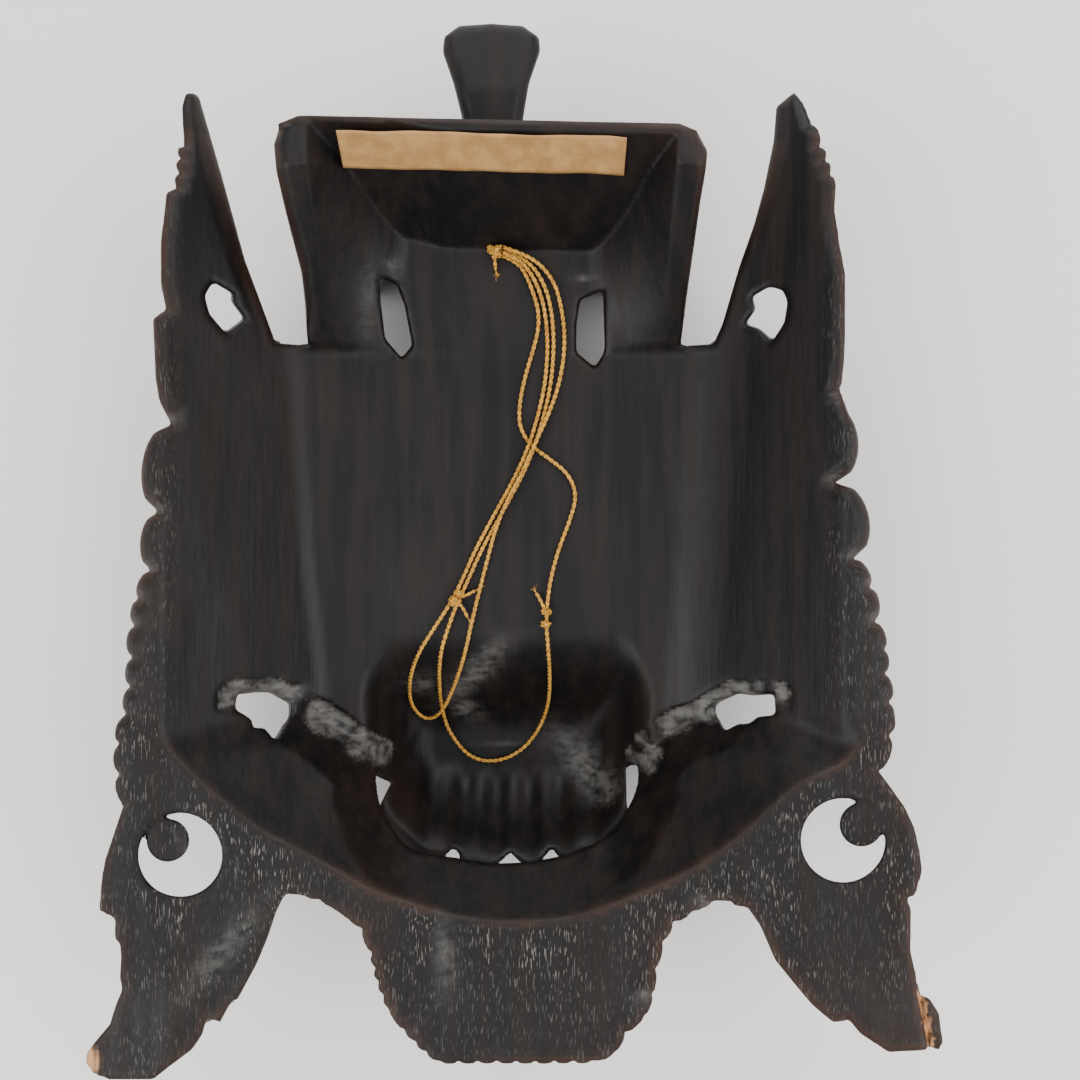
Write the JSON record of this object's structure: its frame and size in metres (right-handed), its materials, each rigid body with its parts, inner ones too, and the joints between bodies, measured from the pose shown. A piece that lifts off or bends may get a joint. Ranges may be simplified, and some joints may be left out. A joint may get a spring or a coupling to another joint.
{
  "type": "carved wooden wall mask",
  "caption": "Carved dark wooden guardian mask with a hollow back, pierced ears and cheek scrolls, a flat beard, a hanging cord and a blank paper label.",
  "frame": {"origin": "centre of the mask's outline on the surface that it lies on, face down", "axes": "+Z out of the hollow back, +Y towards the crown's knob, +X to the right seen from behind"},
  "size_m": [0.332, 0.417, 0.118],
  "materials": {
    "dark_wood": "satin",
    "kraft_paper": "matte",
    "gold_cord": "matte"
  },
  "bodies": {
    "root": {"face_plate": "dark_wood", "nose": "dark_wood", "snout": "dark_wood", "crown": "dark_wood", "crown_finial": "dark_wood", "left_side": "dark_wood", "right_side": "dark_wood", "left_ear": "dark_wood", "right_ear": "dark_wood", "lower_jaw": "dark_wood", "beard": "dark_wood", "left_scroll": "dark_wood", "right_scroll": "dark_wood", "mended_tip": "dark_wood", "paper_label": "kraft_paper", "cord_loop_a": "gold_cord", "cord_loop_b": "gold_cord", "anchor_knot": "gold_cord", "tie_knot": "gold_cord", "splice_knot": "gold_cord"}
  },
  "joints": []
}
